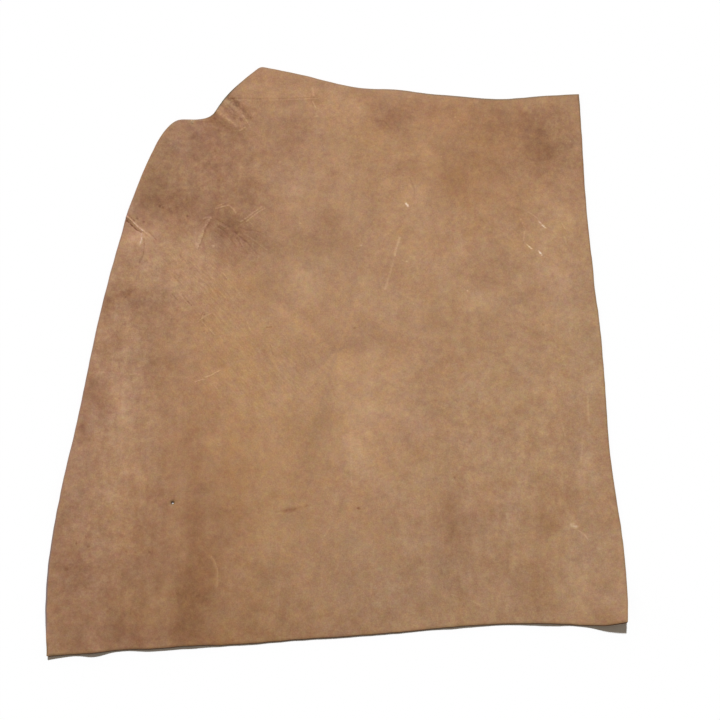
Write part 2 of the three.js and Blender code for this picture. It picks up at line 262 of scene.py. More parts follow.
# Creases, wrinkles, scratches and scars of the grain. Each is a soft ridge, or a trough where its rise
# is below zero, along a route. Next are its rises at the first and last point of the route, and how far
# it spreads to the left and right of it. All of these are in millimetres. The last pair is the tone of its
# left and its right flank: 1 is one step lighter and -1 one step darker than the grain around it. On the
# raised folds and wrinkles these tones are painted light and shade: one flank is painted lighter and the
# other darker, as the light falls on them, with painted shade in the troughs of the folds. On the
# scratches, nicks, scuffs, lines and spots they are the leather's own marks, apart from the ring of
# painted shade around the scar hole.
creases = [
    ("belly pleat", [(-326, 209), (-318, 203), (-312, 197), (-306, 191), (-299, 186)],
     (1.5, 0.7), (1.9, 1.9), (1.7, 0.9)),
    # Painted shadow: the dark line in the narrow gap under the belly pleat.
    ("under the belly pleat", [(-328, 206), (-321, 199), (-315, 193), (-309, 188), (-302, 184)],
     (-1, -0.4), (1.2, 1.4), (-4.2, -3.2)),
    ("above the belly pleat", [(-325, 213), (-318, 207), (-313, 202)],
     (-0.3, 0), (1.4, 1.4), (-1.6, -1.2)),
    ("pleat end 1", [(-299, 186), (-293, 181), (-287, 176)], (0.6, 0.2), (1.8, 1.6), (0.7, 0.2)),
    ("pleat end 2", [(-290, 184), (-285, 179), (-279, 173)], (-0.4, -0.2), (1.5, 1.5), (-1, -0.8)),
    ("wrinkle down from the pleat", [(-302, 183), (-301, 174), (-304, 164)],
     (0.4, 0.2), (2.2, 2.2), (0.9, 1.3)),
    ("beside that wrinkle", [(-298, 173), (-297, 160), (-299, 147), (-304, 137)],
     (-0.4, -0.2), (2, 2), (-1.1, -0.8)),
    ("buckle below the notch", [(-197, 203), (-204, 190), (-208, 176), (-213, 161)],
     (0.4, 0.4), (3.4, 8.5), (-0.7, 0.9)),
    ("buckle shoulder", [(-207, 205), (-198, 209), (-194, 206)], (0.4, 0.2), (1.7, 1.7), (1.3, 1)),
    ("wrinkle from the buckle 1", [(-188, 222), (-178, 225), (-168, 227), (-161, 221), (-157, 215)],
     (0.4, 0.3), (1.7, 1.7), (1.4, 1.4)),
    ("wrinkle from the buckle 2", [(-186, 226), (-174, 231)], (0.3, 0.1), (1.6, 1.6), (1.1, 1)),
    ("fan wrinkle 1", [(-149, 201), (-139, 208), (-132, 214), (-117, 225)],
     (0.5, 0.2), (1.8, 1.6), (1.4, 0.9)),
    ("fan wrinkle 2", [(-141, 201), (-132, 209), (-123, 216), (-112, 223)],
     (0.4, 0.2), (1.7, 1.6), (1.2, 0.9)),
    ("fan wrinkle 3", [(-154, 192), (-148, 196)], (0.3, 0.2), (1.5, 1.5), (0.5, 0.4)),
    ("fan wrinkle 7", [(-149, 178), (-137, 166), (-123, 150)], (-0.2, -0.1), (1.5, 1.5), (-0.7, -0.5)),
    ("fan wrinkle 8", [(-145, 182), (-129, 172), (-108, 156)], (0.3, 0.1), (1.5, 1.5), (0.7, 0.4)),
    ("fan wrinkle 9", [(-154, 175), (-148, 163), (-138, 150)], (-0.2, -0.1), (1.6, 1.6), (-0.7, -0.5)),
    ("fan wrinkle 10", [(-150, 171), (-143, 158)], (0.3, 0.1), (1.4, 1.4), (0.7, 0.5)),
    ("fan wrinkle 11", [(-142, 188), (-126, 187), (-110, 180)], (-0.2, -0.1), (1.6, 1.6), (-0.6, -0.4)),
    ("beside the buckle 1", [(-187, 205), (-176, 199), (-166, 193)],
     (-0.3, -0.1), (1.6, 1.6), (-0.8, -0.6)),
    ("beside the buckle 2", [(-184, 193), (-176, 188), (-169, 182)],
     (-0.3, -0.1), (1.6, 1.6), (-0.8, -0.6)),
    ("beside the buckle 3", [(-190, 187), (-182, 181), (-175, 176)],
     (-0.3, -0.1), (1.6, 1.6), (-0.7, -0.5)),
    ("beside the buckle 4", [(-186, 199), (-176, 194), (-168, 188)], (0.3, 0.1), (1.4, 1.4), (0.5, 0.4)),
    ("fan middle", [(-158, 185), (-155, 182)], (-0.3, -0.3), (2.2, 2.2), (-1.3, -1.3)),
    ("fan wrinkle 4", [(-153, 180), (-145, 172), (-137, 168)], (-0.3, -0.1), (1.5, 1.5), (-0.9, -0.5)),
    ("fan wrinkle 5", [(-164, 172), (-156, 161)], (-0.3, -0.1), (1.5, 1.5), (-0.8, -0.5)),
    ("fan wrinkle 6", [(-156, 175), (-149, 166)], (-0.3, -0.1), (1.4, 1.4), (-0.7, -0.4)),
    ("notch crest", [(-191, 379), (-180, 370), (-169, 362), (-160, 354)],
     (0.8, 0.1), (5.5, 5.5), (1.2, 0.8)),
    ("notch trough", [(-184, 391), (-177, 384), (-170, 376), (-161, 366)],
     (-0.9, -0.2), (5.5, 5), (-1.3, -1.1)),
    ("notch ridge", [(-178, 396), (-170, 388), (-162, 379)], (0.3, 0.1), (2.2, 2.2), (0.2, -0.3)),
    ("beside the notch ridge", [(-170, 386), (-161, 375), (-151, 363)],
     (-0.5, -0.1), (5, 5.5), (-0.9, -0.6)),
    ("notch outer trough", [(-173, 401), (-166, 396), (-159, 390)], (-0.6, -0.3), (9, 7), (-1.3, -1)),
    ("notch outer trough end", [(-159, 390), (-148, 379), (-138, 367)],
     (-0.3, -0.1), (9, 7), (-1.1, -0.9)),
    ("dark beside the notch", [(-152, 385), (-140, 383), (-128, 380)], (0, 0), (7, 5), (-0.7, -0.5)),
    ("notch wrinkle 1", [(-148, 371), (-142, 362), (-137, 354)], (0.2, 0.2), (1.6, 1.6), (0.9, 0.8)),
    ("notch wrinkle 2", [(-152, 346), (-148, 349), (-144, 352)], (0.3, 0.3), (1.9, 1.9), (1, 0.9)),
    ("notch wrinkle 3", [(-135, 369), (-130, 376)], (0.2, 0.2), (1.7, 1.7), (0.6, 0.6)),
    ("notch wrinkle 4", [(-150, 366), (-145, 357), (-141, 351)], (-0.1, -0.1), (1.5, 1.5), (-0.5, -0.5)),
    ("old fold line", [(-170, 399), (-120, 398), (-70, 399), (-30, 401)],
     (-0.3, -0.1), (1.6, 1.6), (-0.5, -0.5)),
    ("below the old fold line", [(-120, 396), (-70, 397), (-30, 399)], (0, 0), (1, 14), (0, -0.5)),
    ("cross wrinkle 1", [(-207, 45), (-197, 35), (-186, 24)], (0.2, 0.2), (1.5, 1.5), (0.5, 0.5)),
    ("cross wrinkle 2", [(-214, 43), (-203, 52), (-191, 58)], (0.2, 0.2), (1.5, 1.5), (0.5, 0.5)),
    ("cross wrinkle 3", [(-205, 59), (-209, 50)], (-0.2, -0.2), (1.6, 1.6), (-0.8, -0.8)),
    ("cross wrinkle 4", [(-205, 48), (-196, 34)], (-0.2, -0.2), (1.4, 1.4), (-0.5, -0.5)),
    ("light wrinkle 1", [(-215, -48), (-206, -45), (-200, -44)], (0.3, 0.2), (1.6, 1.6), (0.9, 0.7)),
    ("light wrinkle 2", [(-200, -41), (-191, -38), (-179, -31)], (0.3, 0.3), (1.6, 1.6), (1, 0.8)),
    ("short wrinkle 1", [(-175, 120), (-168, 110)], (0.4, 0.3), (1.6, 1.6), (0.8, 0.2)),
    ("short wrinkle 2", [(-258, 150), (-247, 139)], (0.2, 0.2), (1.5, 1.5), (0.5, 0.5)),
    ("short wrinkle 3", [(-242, 149), (-238, 140)], (-0.2, -0.2), (1.5, 1.5), (-0.6, -0.6)),
    ("short wrinkle 4", [(-253, 88), (-244, 78)], (-0.3, -0.2), (1.6, 1.6), (-0.9, -0.9)),
    ("short wrinkle 5", [(-237, 86), (-223, 70)], (-0.3, -0.2), (1.6, 1.6), (-1, -0.9)),
    ("short wrinkle 6", [(-246, 93), (-236, 81)], (0.3, 0.2), (1.4, 1.4), (0.5, 0.5)),
    ("short wrinkle 7", [(-240, 107), (-224, 90)], (0.2, 0.2), (1.4, 1.4), (0.5, 0.4)),
    ("short wrinkle 8", [(-254, 119), (-244, 108)], (-0.2, -0.2), (1.5, 1.5), (-0.5, -0.5)),
    ("short wrinkle 9", [(-137, 44), (-134, 35), (-131, 29)], (0.2, 0.2), (1.5, 1.5), (0.7, 0.5)),
    ("fold line to the belly 1", [(-371, -32), (-330, -35), (-298, -36)],
     (0.1, 0.1), (2.6, 2.6), (0.5, 0.5)),
    ("fold line to the belly 2", [(-285, -38), (-250, -40), (-222, -43)],
     (0.1, 0.1), (2.4, 2.4), (0.3, 0.3)),
    ("nick", [(105, 232), (109, 226)], (-0.3, -0.3), (2.3, 2.3), (3.6, 3.6)),
    ("long scuff 1", [(96, 176), (90, 158), (88, 148)], (0, 0), (3, 3), (0.9, 0.9)),
    ("long scuff 2", [(86, 140), (80, 118), (73, 96)], (0, 0), (3, 3), (0.7, 0.7)),
    ("scratch 1", [(294, 217), (302, 212), (308, 207)], (0, 0), (1.3, 1.3), (1.3, 1.3)),
    ("scratch 1 middle", [(310, 203), (314, 198)], (-0.1, -0.1), (1.5, 1.5), (1.8, 1.8)),
    ("scratch 1 end", [(316, 196), (322, 191)], (-0.2, -0.2), (1.7, 1.7), (3, 3)),
    ("scratch 2", [(283, 206), (287, 194)], (0, 0), (1.3, 1.3), (0.8, 0.8)),
    ("scratch 2 middle", [(288, 186), (287, 172)], (0, 0), (1.3, 1.3), (1.2, 1.2)),
    ("scratch 2 end", [(289, 168), (298, 159)], (-0.2, -0.2), (1.6, 1.6), (2.2, 2.2)),
    ("scratch 3", [(309, 156), (314, 149)], (-0.2, -0.2), (1.9, 1.9), (3.2, 3.2)),
    ("scratch 4", [(346, 199), (351, 190)], (0, 0), (1.3, 1.3), (0.8, 0.8)),
    ("scratch 5", [(348, 180), (352, 169)], (0, 0), (1.3, 1.3), (0.7, 0.7)),
    ("crescent", [(-186, -308), (-181, -314), (-177, -325), (-175.5, -338), (-176.5, -352)],
     (0, 0), (1.8, 4.6), (0.75, 0.75)),
    ("rear scar", [(349, -262), (357, -265)], (0, 0), (3.4, 3.4), (1.7, 1.7)),
    ("rear scar end", [(360, -270), (369, -277), (374, -284)], (0, 0), (1.5, 1.5), (1, 1)),
    ("neck scuff 1", [(-40, 416), (-38, 405)], (0, 0), (2.6, 2.6), (1, 1)),
    ("neck scuff 2", [(-39, 394), (-35, 385)], (0, 0), (1.7, 1.7), (1.3, 1.3)),
    ("neck scuff 3", [(-37, 369), (-32, 371)], (0, 0), (1.6, 1.6), (0.9, 0.9)),
    ("faint line 1", [(21, -158), (22, -203)], (0, 0), (1.6, 1.6), (0.4, 0.4)),
    ("faint line 2", [(-85, -347), (-86, -389)], (0, 0), (1.6, 1.6), (0.4, 0.4)),
    ("faint line 3", [(51, -338), (50, -366)], (0, 0), (1.6, 1.6), (0.4, 0.4)),
    ("faint line 4", [(168, -363), (200, -373), (231, -389)], (0, 0), (1.6, 1.6), (0.4, 0.4)),
    ("faint line 5", [(338, -105), (343, -129)], (0, 0), (1.6, 1.6), (0.5, 0.5)),
    ("faint line 6", [(378, -63), (380, -113)], (0, 0), (2.2, 2.2), (0.5, 0.5)),
    ("faint line 7", [(370, -129), (366, -169)], (0, 0), (2.2, 2.2), (0.5, 0.5)),
    ("faint line 8", [(-10, -265), (-22, -284)], (0, 0), (1.6, 1.6), (0.4, 0.4)),
    ("dark line 1", [(112, 271), (119, 252), (118, 237)], (0, 0), (1.8, 1.8), (-0.6, -0.6)),
    ("dark line 2", [(60, 363), (72, 363), (83, 351)], (0, 0), (2, 2), (-0.6, -0.6)),
    ("dark smear", [(-78, -242), (-64, -239.5)], (0, 0), (6.5, 5), (-0.8, -0.8)),
    ("dark smear ends", [(-90, -243), (-70, -240), (-46, -234)], (0, 0), (3.4, 2.6), (-0.5, -0.5)),
    ("dark smear tail", [(-46, -234), (-24, -231)], (0, 0), (2.4, 2.4), (-0.4, -0.4)),
    ("dark dash 1", [(-108, 36), (-100, 37)], (0, 0), (2, 2), (-1.1, -1.1)),
    ("dark dash 2", [(-102, 9), (-97, -6)], (0, 0), (1.8, 1.8), (-0.6, -0.6)),
    ("dark dash 3", [(26, 35), (29, 36)], (0, 0), (2, 2), (-1.1, -1.1)),
]
spots = [
    # Across, up and radius in millimetres, and tone: scuffs and salt specks, stains, and painted shade in a
    # ring around the scar hole.
    (-191, 163, 2.3, 2.8), (36, 164, 1.8, 2), (106, 139, 1.6, 1.8), (199, 93, 1.8, 3),
    (-58, 199, 1.6, 1.4), (312, 152, 1.6, 1.6), (183, 369, 2, 1.6), (188, 363, 1.6, 1.4),
    (149, 363, 1.6, 1.2), (161, 305, 1.8, 1.4), (112, 403, 5, 0.8), (216, 394, 5, 0.8),
    (362, 330, 1.8, 1.2), (356, 327, 1.6, 1.2), (366, 306, 1.8, 1.2), (-387, -289, 2, -1.6),
    (-373, -280, 2, -1.4), (-370, -294, 1.8, -1.2), (-401, -327, 4, -1.2), (-299, -302, 2, -1.2),
    (-278, -302, 2, -1), (-291, -265, 1.8, -1), (32, -237, 2.6, -2), (176, -192, 2.4, -1.6),
    (144, -194, 1.8, -1), (-203, 56, 1.8, -1.2), (-203, 30, 1.8, -1.2), (-275, 226, 3, -2),
    (-270, 224, 2.6, -1.8), (-232, 210, 2.4, -2), (-309, 206, 2.6, -2.4), (-299, 201, 2.4, -1.8),
    (-288, 210, 5, -0.8), (-225, 337, 5, -1), (-191, 314, 3, -1.2), (-285, 284, 5, -0.8),
    (-155, 184, 2.6, -1.4), (-324, 83, 2, -1.2), (314, 40, 2.4, -1.2), (-55, -110, 2, -1),
    # The first spot on this line is the ring of painted shade around the scar hole.
    (-245.2, -229.2, 4.2, -2.4), (-192, 366, 3, -1), (-177, 354, 2.6, -1.1), (-182, 343, 2.4, 1.2),
    (-137, 352, 2, 1),
]
creases += [
    ("spot", [(x, y), (x + 0.5, y)], (0, 0), (radius, radius), (tone, tone))
    for x, y, radius, tone in spots
]


def along_route(places, points):
    """How far each place is from a route, its share of the way, and whether it is on its left."""
    lengths = np.linalg.norm(np.diff(points, axis=0), axis=1)
    nearest = np.full(len(places), np.inf)
    share = np.zeros(len(places))
    on_left = np.zeros(len(places), bool)
    passed = 0.0
    for start, end, length in zip(points, points[1:], lengths):
        step = (end - start) / length
        reach = places - start
        run = np.clip(reach @ step, 0.0, length)
        away = np.linalg.norm(reach - run[:, None] * step, axis=1)
        closer = away < nearest
        nearest[closer] = away[closer]
        share[closer] = (passed + run[closer]) / lengths.sum()
        on_left[closer] = (step[0] * reach[:, 1] - step[1] * reach[:, 0])[closer] > 0
        passed += length
    return nearest, share, on_left


def near_creases(places, margin=0.0):
    """For each crease: the places it reaches, and there its slope from 0 to 1, share and side."""
    for what, route, rise, spread, tones in creases:
        route = np.array(route) / MILLIMETRES
        reach = margin + max(spread) / MILLIMETRES
        low = np.min(route, axis=0) - reach
        high = np.max(route, axis=0) + reach
        found = np.flatnonzero(((places > low) & (places < high)).all(axis=1))
        nearest, share, on_left = along_route(places[found], route)
        widths = np.where(on_left, *spread) / MILLIMETRES + margin
        slope = np.clip(1 - (nearest / widths) ** 2, 0, 1) ** 2
        yield rise, spread, tones, found, slope, share, on_left


# The cells along the creases are divided again, until a crease is a few cells wide.
for _ in range(CREASE_ROUNDS):
    middles = np.empty(3 * len(hide.data.polygons))
    hide.data.polygons.foreach_get("center", middles)
    middles = middles.reshape(-1, 3)[:, :2]
    areas = np.empty(len(hide.data.polygons))
    hide.data.polygons.foreach_get("area", areas)
    finest = np.full(len(areas), np.inf)
    for rise, spread, tones, found, slope, share, on_left in near_creases(middles, margin=CREASE_MARGIN):
        wanted = max(CELL_OF_SPREAD * min(spread) / MILLIMETRES, FINEST_CELL)
        finest[found] = np.minimum(finest[found], np.where(slope > 0, wanted, np.inf))
    on_grain = np.array([face.material_index == GRAIN for face in hide.data.polygons])
    bpy.ops.object.mode_set(mode="EDIT")
    bpy.ops.mesh.select_all(action="DESELECT")
    bpy.ops.object.mode_set(mode="OBJECT")
    hide.data.polygons.foreach_set("select", on_grain & (np.sqrt(areas) > CELL_SLACK * finest))
    bpy.ops.object.mode_set(mode="EDIT")
    bpy.ops.mesh.subdivide(number_cuts=1, ngon=False)
    bpy.ops.object.mode_set(mode="OBJECT")

# Cells that came out with no width are closed up.
bpy.ops.object.mode_set(mode="EDIT")
bpy.ops.mesh.select_all(action="SELECT")
bpy.ops.mesh.dissolve_degenerate(threshold=MERGE_DISTANCE)
bpy.ops.object.mode_set(mode="OBJECT")

# The corners of the grain side, and how near each is to the cut: 1 at the cut, and 0 past the rim.
corners = np.empty(3 * len(hide.data.vertices))
hide.data.vertices.foreach_get("co", corners)
corners = corners.reshape(-1, 3)
walls = [tuple(face.vertices) for face in hide.data.polygons if face.material_index == EDGE]
cut = bvhtree.BVHTree.FromPolygons(corners.tolist(), walls)
on_grain = np.zeros(len(corners))
rim = np.zeros(len(corners))
for face in hide.data.polygons:
    if face.material_index == GRAIN:
        on_grain[list(face.vertices)] = 1.0
for index in np.flatnonzero(on_grain):
    distance = cut.find_nearest(corners[index], 2 * RIM_WIDTH)[3]
    if distance is not None:
        rim[index] = max(0.0, 1 - distance / RIM_WIDTH)

# The knife pressed the rim down a little. The grain sinks towards the hole that the scar left, and the
# hole is wider there than on the flesh side. Each crease lifts or lowers the grain.
SCAR_HOLE = (-0.2452, -0.2292)
SCAR_SPREAD = 0.004
SCAR_WIDENING = 0.42
SCAR_DIP = 0.0003
from_hole = corners[:, :2] - SCAR_HOLE
near_hole = np.exp(-(np.linalg.norm(from_hole, axis=1) / SCAR_SPREAD) ** 2) * on_grain
corners[:, :2] += SCAR_WIDENING * near_hole[:, None] * from_hole
lift = -ARRIS * rim ** 3 - SCAR_DIP * near_hole
UNEVEN_RISE = 0.35
UNEVEN_SPACING = 0.006
for rise, spread, tones, found, slope, share, on_left in near_creases(corners[:, :2]):
    unevenness = np.array([
        1 + UNEVEN_RISE * swell(x, y, UNEVEN_SPACING, 17) for x, y, z in corners[found]
    ])
    lift[found] += (rise[0] + (rise[1] - rise[0]) * share) / MILLIMETRES * slope * unevenness
corners[:, 2] += lift * on_grain

# The rear was cut with the knife held over, so its cut edge slants out below the grain.
REAR_FROM = -0.38
BETWEEN_CORNERS = 0.423
below_cut = np.zeros(len(corners))
below_cut[[corner for wall in walls for corner in wall]] = 1.0
below_cut *= (1 - on_grain) * (corners[:, 1] < REAR_FROM) * (np.abs(corners[:, 0]) < BETWEEN_CORNERS)
corners[:, 1] -= REAR_SLANT * below_cut
hide.data.vertices.foreach_set("co", corners.ravel())
hide.data.update()
bpy.ops.object.shade_smooth_by_angle(angle=math.radians(40))

# Where the grain is darker or lighter. Each cloud has its middle across and up, half width and half
# height in millimetres, the angle that it is turned by, and its tone: 1 is one step lighter and -1 one
# step darker.
tone_clouds = [
    (-270, -400, 200, 150, 0, -0.5),
    (-250, -150, 60, 160, 0, -0.4),
    (-210, 280, 110, 100, 0, -0.45),
    (270, 340, 130, 60, 0, -0.45),
    (50, -360, 300, 80, 0, -0.2),
    (60, 60, 200, 240, 0, 0.25),
    (-286, 249, 30, 52, -15, -1.1),
    (-228, 225, 52, 21, -12, -0.9),
    (-162, 195, 33, 21, -25, -1),
    (-110, 163, 33, 15, -18, -0.8),
    (-170, 142, 32, 18, -15, -0.9),
    (-100, 207, 20, 18, 0, -0.8),
    (-105, 262, 30, 30, 0, -0.35),
    (-203, 316, 58, 55, 0, -0.6),
    (-142, 249, 21, 27, 0, -0.6),
    (-18, 204, 21, 18, 0, -0.6),
    (-39, 171, 46, 15, 0, -0.5),
    (-329, 85, 27, 17, 0, -0.9),
    (-280, 66, 27, 16, -10, -1),
    (-354, 66, 20, 18, 0, -0.5),
    (-268, -30, 16, 50, 0, -0.5),
    (-190, 0, 18, 30, 0, -0.4),
    (-290, 9, 14, 33, 0, -0.5),
    (-355, 24, 17, 27, 0, -0.4),
    (86, 366, 30, 29, 0, -0.9),
    (57, 395, 21, 14, 0, -0.4),
    (108, 285, 13, 30, -15, -0.8),
    (100, 190, 16, 20, 0, -0.4),
    (320, 329, 24, 40, 0, -1.2),
    (274, 361, 40, 21, 0, -0.8),
    (231, 316, 46, 36, 0, -0.5),
    (285, 268, 30, 20, 0, -0.35),
    (364, 287, 21, 27, 0, -0.6),
    (177, 263, 27, 27, 0, -0.5),
    (248, 132, 27, 24, 0, -0.4),
    (279, 82, 21, 15, 0, -0.4),
    # These three clouds darken a long stripe down the belly half of the rear.
    (-213, -260, 15, 110, -3, -0.75),
    (-222, -385, 24, 50, -3, -0.7),
    (-192, -345, 20, 80, -2, -0.55),
    (-252, -390, 11, 42, 0, 0.35),
    (-213, -163, 8, 22, -4, -0.45),
    (-195, -206, 9, 14, 0, -0.45),
    (-172, -240, 30, 75, 0, -0.35),
    (-165, -240, 32, 18, 25, -0.5),
    (-330, -190, 20, 30, 0, -0.35),
    (-408, -255, 16, 45, -5, -0.55),
    (170, -269, 21, 46, 0, -0.8),
    (175, -190, 14, 40, 0, -0.45),
    (303, -262, 24, 22, 0, -0.75),
    (310, -354, 18, 55, 0, -0.6),
    # Painted shade on the lifted spine corner, which tilts towards the light and would otherwise show
    # lighter.
    (410, -388, 28, 30, 0, -0.9),
    (-371, -357, 91, 106, 0, -0.4),
    (-68, -429, 350, 91, 3, -0.25),
    (-43, -116, 40, 24, 0, -0.35),
    (89, -198, 40, 21, 0, -0.35),
    (-3, 12, 109, 14, 0, -0.3),
    (-60, 60, 45, 12, -32, -0.35),
    (-384, -119, 9, 12, 0, -1.4),
    (-378, -68, 16, 26, 0, -1.1),
    (-304, 179, 27, 14, 0, 0.7),
    (-239, 150, 79, 24, -14, 0.6),
    (-300, 112, 30, 13, -8, 0.4),
    (-210, 85, 32, 18, 0, 0.35),
    (-262, 290, 28, 18, 0, 0.4),
    (-64, 252, 40, 20, -35, 0.6),
    (-116, 415, 46, 14, -5, 0.5),
    (-9, 397, 40, 21, -10, 0.35),
    (30, 370, 16, 24, 0, 0.4),
    (36, -143, 30, 46, 0, 0.8),
    (53, -75, 40, 52, 0, 0.4),
    (329, 195, 33, 55, 0, 0.65),
    (345, 100, 30, 45, 0, 0.55),
    (380, -45, 20, 22, 0, 0.9),
    (290, -75, 55, 28, 10, 0.35),
    (-57, 110, 21, 26, 0, 0.5),
    (-324, -113, 17, 76, 0, 0.7),
    (-332, -255, 23, 67, 0, 0.5),
    (-352, -355, 14, 75, 0, 0.5),
    (-245, -345, 20, 35, 0, 0.45),
    (-305, -295, 25, 20, 0, 0.3),
    (357, -354, 30, 46, 0, 0.4),
    (354, -261, 11, 12, 0, 0.6),
    (371, -174, 12, 36, 0, 0.4),
    (215, -362, 28, 18, -10, 0.5),
    (100, -290, 22, 20, 0, 0.5),
    (30, -375, 40, 22, 0, 0.35),
    (-50, -350, 30, 20, 0, 0.3),
    (224, 75, 33, 14, 0, 0.4),
    (190, 160, 11, 40, 18, 0.45),
    (112, 85, 22, 20, 0, 0.3),
    (125, 250, 30, 70, 0, 0.3),
    (-105, 1, 128, 116, 0, 0.25),
    (-96, -293, 27, 18, 0, 0.5),
    (265, -222, 15, 24, 0, 0.4),
    (-112, -169, 33, 40, 0, 0.2),
    (-62, 332, 30, 45, 0, -0.45),
    (-95, 425, 45, 16, -10, -0.3),
    (180, 372, 80, 24, 0, -0.35),
    (-185, 205, 70, 50, -15, -0.25),
    (-270, 122, 50, 20, -10, 0.35),
    (-122, 90, 32, 45, 10, -0.4),
    (2, 145, 30, 60, 0, -0.28),
    (220, 238, 130, 26, -5, -0.22),
    (347, 5, 36, 60, 0, 0.35),
    (120, -20, 30, 40, 0, -0.28),
    (-60, 8, 32, 26, 0, -0.25),
    (-358, -60, 20, 28, 0, -0.4),
    (-283, -118, 42, 24, 10, 0.32),
    (-80, -60, 42, 24, -10, 0.28),
    (300, -172, 60, 24, -8, 0.42),
    (240, -246, 24, 18, 0, -0.3),
    (60, -205, 30, 36, 0, 0.25),
    (352, -305, 30, 42, 0, 0.42),
    (-330, -330, 110, 45, 0, -0.25),
    (-285, -425, 120, 24, 4, -0.55),
    (-80, -420, 50, 18, 4, -0.4),
    (-213, 180, 11, 16, 0, 0.6),
    (-176, 187, 18, 18, 0, -0.5),
    (-182, 362, 18, 26, 0, -0.3),
    (-300, 240, 30, 24, -15, -0.25),
    (290, 300, 90, 24, 0, -0.22),
    (240, -150, 26, 36, 0, 0.26),
    (140, -330, 36, 36, 0, 0.22),
    (300, -365, 28, 24, 0, 0.24),
    (-345, -90, 30, 45, 0, -0.22),
    (-418, -355, 14, 45, 0, -0.3),
    (-180, 65, 20, 20, 0, 0.26),
    (-150, -215, 40, 50, 0, -0.12),
    (-310, 180, 14, 16, 0, 0.45),
    (-240, 178, 24, 14, 0, -0.25),
    (180, -300, 26, 30, 0, -0.25),
    (-245, -420, 30, 18, 0, -0.26),
    (-420, -425, 14, 20, 0, 0.25),
    (-240, 302, 20, 20, 0, 0.25),
]
# Where the tan is redder, or where it is greyer, below zero.
red_clouds = [
    (150, 375, 160, 60, 0, 1.3),
    (120, 340, 25, 28, 0, -0.8),
    (335, 335, 40, 45, 0, -0.7),
    (230, 270, 150, 70, -10, 0.7),
    (-100, 420, 50, 30, -10, 0.6),
    (-190, 320, 18, 60, 20, 0.6),
    (-180, -80, 60, 300, 0, 1.3),
    (-30, -30, 110, 120, 0, 0.4),
    (-240, 320, 40, 50, 0, -0.5),
    (-290, 255, 30, 60, -15, -0.7),
    (-290, 10, 25, 120, -5, -0.7),
    (-120, 160, 120, 25, -10, -0.6),
    (290, -180, 150, 260, 0, -0.8),
    (130, -150, 60, 110, 0, -0.3),
    (110, -350, 220, 90, 0, -0.9),
    (50, -410, 420, 45, 4, -0.5),
    (390, 50, 35, 150, 0, -0.8),
    (370, -370, 60, 50, 0, -0.4),
    (-400, -250, 35, 230, -4, -0.7),
    (-70, -241, 14, 6, 6, 1.4),
    (-90, 428, 60, 24, -10, 1.3),
    (100, 370, 270, 36, -2, 0.5),
    (-122, 310, 24, 30, 20, 0.7),
    (140, 270, 200, 60, -8, 0.5),
    (-317, 175, 28, 28, 0, 1.1),
    (-165, 192, 42, 40, 0, -0.6),
    (180, 178, 80, 30, 0, 0.5),
    (-50, 48, 90, 30, -10, 0.35),
    (-100, -140, 48, 140, 8, 0.55),
    (140, 0, 50, 30, 0, 0.45),
    (45, -120, 40, 30, 0, 0.45),
    (380, -50, 45, 200, 0, -0.35),
    (392, -320, 48, 80, 0, -0.9),
    (-185, -240, 25, 80, -5, -0.6),
    (-340, -385, 100, 65, 0, -0.7),
    (70, -350, 130, 55, 4, -0.5),
    (170, -200, 50, 40, 0, -0.35),
    (180, 280, 260, 120, -6, 0.42),
    (-152, 168, 14, 20, 25, 1.3),
    (-139, 380, 14, 10, 0, 1.4),
    (-176, 378, 10, 10, 0, 1.2),
    (-162, 388, 10, 14, 40, -1.2),
    (-310, -400, 170, 60, 3, -0.42),
    (5, -422, 36, 24, 0, -0.6),
    (-360, -120, 30, 50, 0, -0.35),
    (160, -350, 60, 40, 0, -0.25),
    (-225, -360, 30, 80, 0, -0.45),
    (-125, 425, 36, 20, -10, 0.5),
    (360, 365, 28, 30, 0, 0.6),
    (-300, 180, 26, 24, 0, 0.55),
    (-180, 180, 30, 24, 0, -0.45),
    (-55, 238, 26, 26, 0, 0.45),
    (150, 130, 50, 50, 0, 0.35),
    (180, -320, 50, 50, 0, -0.3),
    (-360, -270, 28, 60, 0, -0.35),
]
